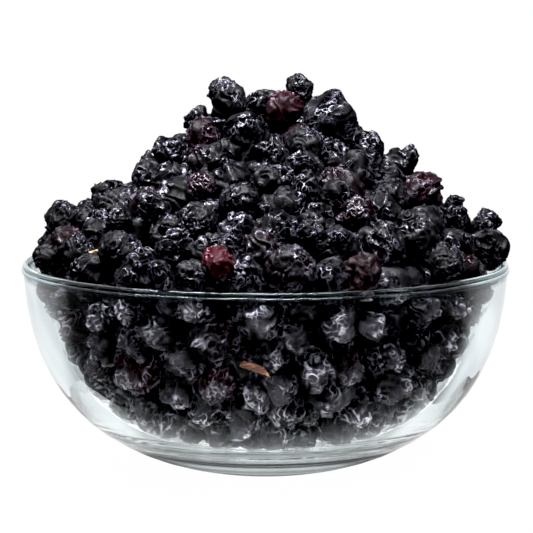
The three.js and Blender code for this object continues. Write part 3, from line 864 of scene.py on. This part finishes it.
# %% Tints of the skin: most berries are near black, some are burgundy
RED_BERRIES = {
    (3.5, 39.5): 0.5, (-15, 32.5): 0.3, (39, 18): 0.35, (-16, 19.5): 0.3, (-49, 5): 0.3, (-11, 1): 1.0,
    (-1, 4): 0.2, (6.5, -1): 0.15, (22, 12): 0.2, (24, -2.5): 0.35, (-45.5, -14.5): 0.25,
    (-31, -25): 0.3, (-12, -29): 0.35, (20, -25): 0.25, (-12, -18): 0.15,
}
LOOSE_RED, LEAST_RED, MORE_RED = 0.06, 0.15, 0.25

# %% Copy, turn, stretch and place: two berries show their crowns to the eye
COPY_SEED = 90210
LEAST_STRETCH, MORE_STRETCH = 0.94, 0.12
FACING = {(-5, 32.5): 0, (9, 23): 4}
BERRY_SECTORS = 8
draw = make_draw(COPY_SEED)
eye = Vector((0.0, -EYE_RUN, EYE_RISE))
named = [tuple(row[:2]) for row in HEAP_BERRIES + GLASS_BERRIES]
parts = [[] for _ in range(BERRY_SECTORS)]
for i, (bx, by, bz, br) in enumerate(berries):
    turn = Quaternion([draw() - 0.5 for _ in range(4)]).normalized()
    shape = int(draw() * len(SHAPES))
    stretch = [LEAST_STRETCH + MORE_STRETCH * draw() for _ in range(3)]
    tint = LEAST_RED + MORE_RED * draw() if draw() < LOOSE_RED else 0.0
    shade = draw()
    if i < PLACED:
        tint = RED_BERRIES.get(named[i], 0.0)
        if named[i] in FACING:
            shape = FACING[named[i]]
            turn = eye.to_track_quat("Z", "Y")
    source = models[shape][fineness[i]]
    copy = source.copy()
    copy.data = source.data.copy()
    bpy.context.collection.objects.link(copy)
    size = br * MM / BERRY
    copy.matrix_world = (Matrix.Translation(Vector((bx, by, bz)) * MM) @ turn.to_matrix().to_4x4()
                         @ Matrix.Diagonal((*(size * k for k in stretch), 1)))
    store(copy, "tint", tint)
    store(copy, "shade", shade)
    sector = int((atan2(bx, -by) / (2 * pi) + 0.5) * BERRY_SECTORS) % BERRY_SECTORS
    parts[sector].append(copy)
print("copies made:", [len(part) for part in parts])

# %% Join each sector into one piece
heaps = []
for k, part in enumerate(parts):
    choose(*part)
    bpy.ops.object.transform_apply(location=True, rotation=True, scale=True)
    bpy.ops.object.join()
    heap = bpy.context.object
    heap.name = heap.data.name = f"berries_sector_{k}"
    heaps.append(heap)
choose(*[copy for row in models for copy in row])
bpy.ops.object.delete()
print("sectors:", [triangles(heap) for heap in heaps], "triangles")

# %% [markdown]
# Berries that lie against the glass are pressed flat where they touch it. Points that stand
# past the inner wall are put back on it, and are marked as pressed, so that the skin can turn
# smoother and greyer there, its grey partly the flattened skin's own and partly painted light.

# %% Press the berries against the glass
PRESS_GAP, LIP_GAP, NEAR = 0.06, 0.12, 2.0
FINE_WALL_STEPS = 48
fine_facets = inside_facets(inside_profile(FINE_WALL_STEPS))
for heap in heaps:
    before = points_of(heap) / MM
    x, y, z = off_wall(*before.T, 0.0, PRESS_GAP, fine_facets)
    x, y, z = off_lip(x, y, z, 0.0, LIP_GAP)
    after = np.stack([x, y, z], 1)
    further = np.stack(off_wall(*before.T, 0.0, PRESS_GAP + NEAR, fine_facets), 1)
    store(heap, "pressed", np.clip(np.linalg.norm(further - before, axis=1) / NEAR, 0, 1))
    set_points(heap, after * MM)
    print(heap.name, "pressed at", int((after != before).any(1).sum()), "points")

# %% [markdown]
# ## Skin
# The skin is near black with a blue-violet cast. What makes it look dried is the light on its
# finest folds: thin pale lines that run in loops. One node group gives those lines as a number.

# %% Node group: lines along the contours of a noise
lines_group = bpy.data.node_groups.new("contour_lines", "ShaderNodeTree")
face = lines_group.interface
for name, kind in [("Vector", "NodeSocketVector"), ("Scale", "NodeSocketFloat"), ("Turns", "NodeSocketFloat"),
                   ("Narrow", "NodeSocketFloat")]:
    face.new_socket(name, in_out="INPUT", socket_type=kind)
face.new_socket("Line", in_out="OUTPUT", socket_type="NodeSocketFloat")
given = lines_group.nodes.new("NodeGroupInput")
result = lines_group.nodes.new("NodeGroupOutput")
soft = node(lines_group, "TexNoise", {"Vector": given.outputs["Vector"], "Scale": given.outputs["Scale"],
                                      "Detail": 1.0, "Roughness": 0.35})
turned = times(lines_group, soft.outputs["Fac"], given.outputs["Turns"])
wave = maths(lines_group, "PINGPONG", turned, 1.0)
line = node(lines_group, "MapRange", {"Value": wave, "From Min": given.outputs["Narrow"], "From Max": 1.0},
            interpolation_type="SMOOTHSTEP")
lines_group.links.new(line.outputs["Result"], result.inputs["Line"])


def contour_lines(tree, vector, scale, turns, narrow):
    made = tree.nodes.new("ShaderNodeGroup")
    made.node_tree = lines_group
    tree.links.new(vector, made.inputs["Vector"])
    for name, value in (("Scale", scale), ("Turns", turns), ("Narrow", narrow)):
        made.inputs[name].default_value = value
    return made.outputs["Line"]


# %% [markdown]
# A broad and a fine set of lines, strong in some patches and weak in others, drive the bump,
# the pale crests, their gloss and their waxy coat. The pale crests are the skin's waxy bloom and
# a painted highlight. Some berries are burgundy, by the tint kept on each, and what is near the
# glass turns paler, partly its own grey and partly painted light, and flatter.

# %% Lines and bumps of the skin
BROAD_LINES, FINE_LINES = (350.0, 9.0, 0.42), (600.0, 6.0, 0.48)
skin, tree, place = new_material("dried_berry_skin")
ridge, tint, shade, pressed = (node(tree, "Attribute", attribute_name=name).outputs["Fac"]
                               for name in ("ridge", "tint", "shade", "pressed"))
rough_area = remap(tree, noise(tree, place, 170.0, 2.0), 0.38, 0.6, 0.25, 1.0)
broad = times(tree, contour_lines(tree, place, *BROAD_LINES), rough_area)
fine = times(tree, contour_lines(tree, place, *FINE_LINES), rough_area)
height = maths(tree, "MULTIPLY_ADD", fine, 0.25, times(tree, broad, 0.5))
height = times(tree, height, remap(tree, pressed, 0, 1, 1.0, 0.6))
height = maths(tree, "MULTIPLY_ADD", noise(tree, place, 2600.0, 2.0), 0.03, height)
bump = node(tree, "Bump", {"Height": height, "Strength": 0.9, "Distance": 0.0003})
crest = maths(tree, "MAXIMUM", broad, times(tree, fine, 0.7))
crest = times(tree, crest, remap(tree, ridge, 0.05, 0.6, 0.35, 1.0))

# %% Colour of the skin: in the hollows, and on the crests of the folds, where waxy bloom and a painted highlight lie
HOLLOWS = [(0, (0.0003, 0.0001, 0.0002)), (1, (0.001, 0.0005, 0.0008))]
CRESTS_BLOOM_AND_HIGHLIGHT = [(0, (0.04, 0.036, 0.048)), (1, (0.11, 0.102, 0.13))]
BURGUNDY = [(0.024, 0.0012, 0.0035, 1), (0.14, 0.055, 0.075, 1)]
NEAR_GLASS_GREY_AND_LIGHT = [(0.026, 0.022, 0.028, 1), (0.4, 0.365, 0.4, 1)]
# The pale colour on the crests is waxy bloom and a painted highlight, on burgundy berries too.
pale = times(tree, crest, crest)
skin_colour = blend(tree, pale, ramp(tree, shade, HOLLOWS), ramp(tree, shade, CRESTS_BLOOM_AND_HIGHLIGHT))
red = maths(tree, "POWER", tint, 1.6)
skin_colour = blend(tree, red, skin_colour, blend(tree, pale, *BURGUNDY))
# Near the glass the skin turns paler: partly its own flattened grey, partly painted light.
pressed_grey_and_light = times(tree, pressed, 0.85)
skin_colour = blend(tree, pressed_grey_and_light, skin_colour, blend(tree, pale, *NEAR_GLASS_GREY_AND_LIGHT))

# %% Gloss and waxy coat of the skin, with a painted shade on the sheen in the hollows
gloss = maths(tree, "MULTIPLY_ADD", pressed, 0.2, remap(tree, crest, 0, 1, 0.55, 0.3))
wax = remap(tree, crest, 0.2, 0.8, 0.0, 1.0)
# The sheen is weaker in rough patches, and weaker in the hollows of the folds as painted shade.
sheen = times(tree, remap(tree, rough_area, 0.25, 1.0, 0.5, 0.03),
              remap(tree, ridge, 0.0, 0.4, 0.3, 1.0))
shader = node(tree, "BsdfPrincipled", {
    "Base Color": skin_colour, "Roughness": gloss, "Normal": bump.outputs[0], "IOR": 1.25,
    "Specular IOR Level": sheen, "Coat Weight": wax, "Coat Roughness": 0.22, "Coat IOR": 1.5,
    "Coat Normal": bump.outputs[0]})
node(tree, "OutputMaterial", {"Surface": shader.outputs[0]})
for heap in heaps:
    dress(heap, skin)
    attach(heap, "root")
    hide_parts("dried_blueberries")
print(len(heaps), "berry pieces")

# %% [markdown]
# ## Glass
# Clear glass with a slight teal tint where the light's way through it is long. The moulded foot
# bends the light in rings, which a bump and bright and dark rings of painted light and shade by
# height give together. The thick rim is tinted, and it alone mirrors with a sheen. A ray that
# only asks for shadow passes straight through, and light that was thrown about in the wall
# leaks out, so that it doesn't turn black.

# %% Ripples of the glass: rings near the foot, a swell above them and a slow swirl
RING_STRETCH = 0.02
glass, tree, place = new_material("clear_glass")
spot = node(tree, "SeparateXYZ", {0: place}).outputs
from_axis = times(tree, spot["X"], spot["X"])
from_axis = maths(tree, "SQRT", maths(tree, "MULTIPLY_ADD", spot["Y"], spot["Y"], from_axis))
ring_place = node(tree, "CombineXYZ", {0: times(tree, spot["X"], RING_STRETCH),
                                       1: times(tree, spot["Y"], RING_STRETCH),
                                       2: maths(tree, "ADD", from_axis, spot["Z"])})
streaks = noise(tree, ring_place.outputs[0], 700.0, 2.0)
swirl = noise(tree, place, 60.0, 1.0)
near_foot = remap(tree, spot["Z"], 0.006, 0.0135, 1.0, 0.0)
swell = remap(tree, spot["Z"], 0.006, 0.008, 0.0, 0.7)
uneven = maths(tree, "MULTIPLY_ADD", times(tree, streaks, near_foot), 0.6, swell)
uneven = maths(tree, "MULTIPLY_ADD", swirl, 0.1, uneven)
ripple = node(tree, "Bump", {"Height": uneven, "Strength": 1.0, "Distance": 0.0005})

# %% Colour that the eye sees through: rings of painted light and shade by height in mm, and a tinted lip
RINGS_END = 16
PAINTED_FOOT_RINGS = [(0, 0.45), (2.0, 0.35), (2.9, 1.0), (3.8, 0.4), (5.0, 1.0), (5.8, 0.9), (6.5, 0.12), (7.3, 0.2),
              (8.2, 1.0), (9.3, 1.0), (10.4, 0.65), (11.0, 0.6), (11.8, 1.0), (13.0, 1.0)]
RING_HUE = (0.93, 0.99, 1.0)
LIP_ZONE = (0.0465, 0.0485)
path = node(tree, "LightPath").outputs
in_lip = remap(tree, spot["Z"], *LIP_ZONE)
level = maths(tree, "MULTIPLY_ADD", maths(tree, "SUBTRACT", streaks, 0.5), 0.0024, spot["Z"])
level = remap(tree, level, 0.0, RINGS_END * MM, 0.0, 1.0, "LINEAR")
# Painted light and shade: bright and dark rings of the foot, seen through the glass.
stops = [(mm / RINGS_END, tuple((hue * v) ** 2 for hue in RING_HUE)) for mm, v in PAINTED_FOOT_RINGS]
seen = blend(tree, in_lip, ramp(tree, level, stops), (0.33, 0.45, 0.48, 1))
seen = blend(tree, path["Is Camera Ray"], (1, 1, 1, 1), seen)

# %% Light that leaks out of the wall, by height, after it was thrown about inside
LEAK_AFTER = 4
LEAK_CLOUDY, LEAK_CLEAR = (0.74, 0.76, 0.78, 1), (0.96, 0.965, 0.975, 1)
LEAK_LOW, LEAK_LIP, SHADOW = (0.95, 0.98, 0.99, 1), (0.22, 0.29, 0.31, 1), (0.97, 0.985, 0.985, 1)
wavy = maths(tree, "MULTIPLY_ADD", swirl, 0.03, maths(tree, "SUBTRACT", spot["Z"], 0.015))
leaked = blend(tree, remap(tree, swirl, 0.4, 0.62), LEAK_CLOUDY, LEAK_CLEAR)
leaked = blend(tree, remap(tree, wavy, 0.016, 0.021), LEAK_LOW, leaked)
leaked = blend(tree, in_lip, leaked, LEAK_LIP)
leaked = blend(tree, path["Is Shadow Ray"], leaked, SHADOW)
leak_after = remap(tree, wavy, 0.0195, 0.0205, LEAK_AFTER - 0.5, 0.5)
leaks = maths(tree, "GREATER_THAN", path["Glossy Depth"], leak_after)
passes = maths(tree, "MAXIMUM", path["Is Shadow Ray"], leaks)

# %% Clear glass
smeared = remap(tree, noise(tree, place, 180.0, 3.0), 0.4, 0.8, 0.0, 0.0035)
rim_sheen = blend(tree, in_lip, (0, 0, 0, 1), (0.27, 0.29, 0.3, 1))
clear = node(tree, "BsdfPrincipled", {
    "Base Color": seen, "Roughness": smeared, "IOR": 1.5, "Normal": ripple.outputs[0],
    "Transmission Weight": 1.0, "Specular Tint": rim_sheen})
through = node(tree, "BsdfTransparent", {"Color": leaked})
mixed = node(tree, "MixShader", {0: passes, 1: clear.outputs[0], 2: through.outputs[0]})
teal = node(tree, "VolumeAbsorption", {"Color": (0.55, 0.85, 0.9, 1), "Density": 5.0})
node(tree, "OutputMaterial", {"Surface": mixed.outputs[0], "Volume": teal.outputs[0]})
dress(bowl, glass)
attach(bowl, "root")
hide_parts("glass_bowl")

# %% [markdown]
# ## Bark and stalk
# Two strays: a thin curl of orange-brown bark between the berries and the front glass, and a
# short dry stalk on the left slope. Each is a primitive cut finely, laid along its route by a
# formula, and roughened by a modifier.

# %% A curve through the points of a route
def along(route, share):
    """Places and directions on a smooth curve through the points, for shares 0 to 1."""
    route = np.array(route, dtype=float)
    step = np.linalg.norm(np.diff(route, axis=0), axis=1)
    at = np.concatenate([[0], np.cumsum(step)]) / step.sum()
    fits = [np.polyfit(at, route[:, k], len(route) - 1) for k in range(3)]
    places = np.stack([np.polyval(fit, share) for fit in fits], -1)
    ways = np.stack([np.polyval(np.polyder(fit), share) for fit in fits], -1)
    return places, ways / np.linalg.norm(ways, axis=-1, keepdims=True)


# %% Sliver of bark
LEAN_OUT, LEAN_DOWN = 0.93, 0.36
TAPER_OVER, TAPER_TIP = 0.35, 0.12
SLIVER_HALF = 0.8
bpy.ops.mesh.primitive_cube_add(size=1)
sliver = bpy.context.object
sliver.name = "sliver_of_bark"
edit(sliver, (bpy.ops.mesh.subdivide, dict(number_cuts=15)))
p = points_of(sliver)
share, side, out = p[:, 0] + 0.5, 2 * p[:, 2], 2 * p[:, 1]
places, ways = along(sliver_route(), share)
outward = places * (1, 1, 0)
outward /= np.linalg.norm(outward, axis=1, keepdims=True)
outward = outward * LEAN_OUT - np.array((0, 0, LEAN_DOWN))
across = np.cross(ways, outward)
across /= np.linalg.norm(across, axis=1, keepdims=True)
torn = 0.12 * (1 - share) ** 4 * (1 + np.sin(7.5 * side + 0.6) + 0.35 * np.sin(23 * side))
places = along(sliver_route(), np.clip(share + torn, 0, 1))[0]
taper = np.clip((1 - share) / TAPER_OVER, TAPER_TIP, 1)
ragged = 1 + 0.1 * np.sin(31 * share) + 0.06 * np.sin(67 * share + 2)
wide = side * (SLIVER_HALF * taper) * ragged
thick = out * SLIVER_THICKNESS / 2 * (0.4 + 0.6 * taper) * (1 - 0.55 * side ** 2)
set_points(sliver, (places + across * wide[:, None] + outward * thick[:, None]) * MM)
grooves = shaping_texture("CLOUDS", "grooves", noise_scale=0.5 * MM, noise_depth=2)
modify(sliver, "DISPLACE", texture=grooves, texture_coords="GLOBAL", strength=0.25 * MM, mid_level=0.5)
smooth(sliver)
print("sliver:", triangles(sliver), "triangles")

# %% Bark
BARK = [(0.35, (0.022, 0.007, 0.004)), (0.52, (0.09, 0.028, 0.015)), (0.72, (0.30, 0.10, 0.035))]
BLOT = (0.34, 0.15, 0.05, 1)
FIBRE_TURN_DEG = 25
bark, tree, place = new_material("orange_brown_bark")
fibre_place = node(tree, "Mapping", {"Vector": place, "Rotation": (0, radians(FIBRE_TURN_DEG), 0),
                                     "Scale": (0.25, 1, 1)})
fibres = noise(tree, fibre_place.outputs[0], 2600.0, 4.0)
blots = noise(tree, place, 520.0, 2.0)
colour = blend(tree, remap(tree, blots, 0.54, 0.68), ramp(tree, fibres, BARK), BLOT)
bump = node(tree, "Bump", {"Height": fibres, "Strength": 0.7, "Distance": 0.0002})
rough = remap(tree, blots, 0.3, 0.7, 0.6, 0.85)
shader = node(tree, "BsdfPrincipled", {"Base Color": colour, "Roughness": rough, "Normal": bump.outputs[0]})
node(tree, "OutputMaterial", {"Surface": shader.outputs[0]})
dress(sliver, bark)
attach(sliver, "root")
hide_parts("bark_sliver")

# %% Bit of stalk
bpy.ops.mesh.primitive_cylinder_add(vertices=16, radius=0.5, depth=1)
stalk = bpy.context.object
stalk.name = "bit_of_stalk"
edit(stalk, (bpy.ops.mesh.subdivide, dict(number_cuts=7)))
p = points_of(stalk)
share = p[:, 2] + 0.5
places, ways = along(STALK_ROUTE, share)
side = np.cross(ways, (0, 0, 1.0))
side /= np.linalg.norm(side, axis=1, keepdims=True)
up = np.cross(side, ways)
thick = STALK_RADIUS * (0.72 + 0.25 * np.abs(2 * share - 1) ** 3 + 0.08 * np.sin(19 * share))
set_points(stalk, (places + (side * p[:, :1] + up * p[:, 1:2]) * 2 * thick[:, None]) * MM)
modify(stalk, "DISPLACE", texture=grooves, texture_coords="GLOBAL", strength=0.12 * MM, mid_level=0.5)
smooth(stalk)
print("stalk:", triangles(stalk), "triangles")

# %% Dry stalk
STRAW = [(0.3, (0.25, 0.12, 0.045)), (0.55, (0.5, 0.29, 0.12)), (0.75, (0.75, 0.52, 0.28))]
straw, tree, place = new_material("dry_stalk")
fibre_place = node(tree, "Mapping", {"Vector": place, "Scale": (0.3, 1, 1)})
fibres = noise(tree, fibre_place.outputs[0], 2200.0, 3.0)
colour = ramp(tree, fibres, STRAW)
bump = node(tree, "Bump", {"Height": fibres, "Strength": 0.6, "Distance": 0.0001})
rough = remap(tree, fibres, 0.3, 0.7, 0.55, 0.8)
shader = node(tree, "BsdfPrincipled", {"Base Color": colour, "Roughness": rough, "Normal": bump.outputs[0]})
node(tree, "OutputMaterial", {"Surface": shader.outputs[0]})
dress(stalk, straw)
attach(stalk, "root")
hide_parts("stalk_bit")

# %% [markdown]
# ## Measure and finish
# The triangles of the added pieces are counted.

# %% Triangles
bpy.context.view_layer.update()
print("triangles added:", sum(triangles(piece) for piece in [bowl, sliver, stalk, *heaps]))
